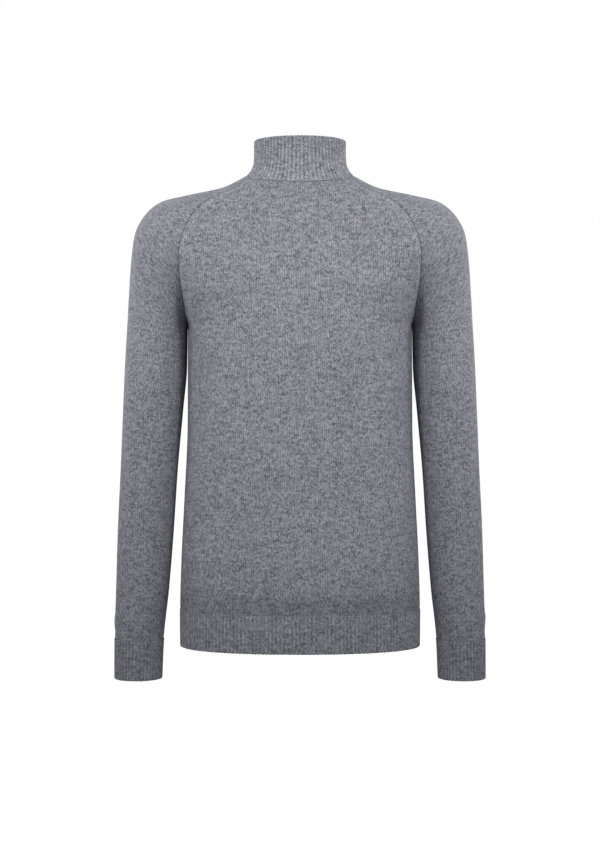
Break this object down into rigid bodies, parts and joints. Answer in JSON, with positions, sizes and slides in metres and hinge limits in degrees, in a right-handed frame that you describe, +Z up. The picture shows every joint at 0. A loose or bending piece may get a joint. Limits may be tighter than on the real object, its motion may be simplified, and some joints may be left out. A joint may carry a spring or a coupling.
{
  "type": "zip-up cardigan",
  "caption": "Hollow, filled-out zip-up cardigan in plain knit, with raglan sleeves, a ribbed stand collar, hem and cuffs, and a front zip with a swinging pull tab.",
  "frame": {"origin": "middle of the neck, at the height where the neck and shoulders of its wearer hold it up", "axes": "+Z up, -Y out of the garment's front, +X towards its wearer's left"},
  "size_m": [0.508, 0.2305, 0.729],
  "materials": {
    "knit": "plain melange knit, soft and slightly hairy",
    "rib": "ribbed melange knit",
    "tape": "woven zip tape",
    "zip_metal": "dark nickel plate"
  },
  "bodies": {
    "garment": {"back": "knit", "front_left": "knit", "front_right": "knit", "sleeve_left": "knit", "sleeve_right": "knit", "collar": "rib", "hem_band": "rib", "cuff_left": "rib", "cuff_right": "rib", "zip_tape_left": "tape", "zip_tape_right": "tape", "zip_chain": "zip_metal", "zip_slider": "zip_metal", "zip_stop_left": "zip_metal", "zip_stop_right": "zip_metal", "zip_box": "zip_metal"},
    "pull_tab": {"zip_pull_tab": "zip_metal"}
  },
  "joints": [
    {"name": "pull_tab_swing", "type": "hinge", "parent": "garment", "child": "pull_tab", "pos_m": [0, -0.0725, 0.0115], "axis": [-1, 0, 0], "range_deg": [0, 170]}
  ]
}
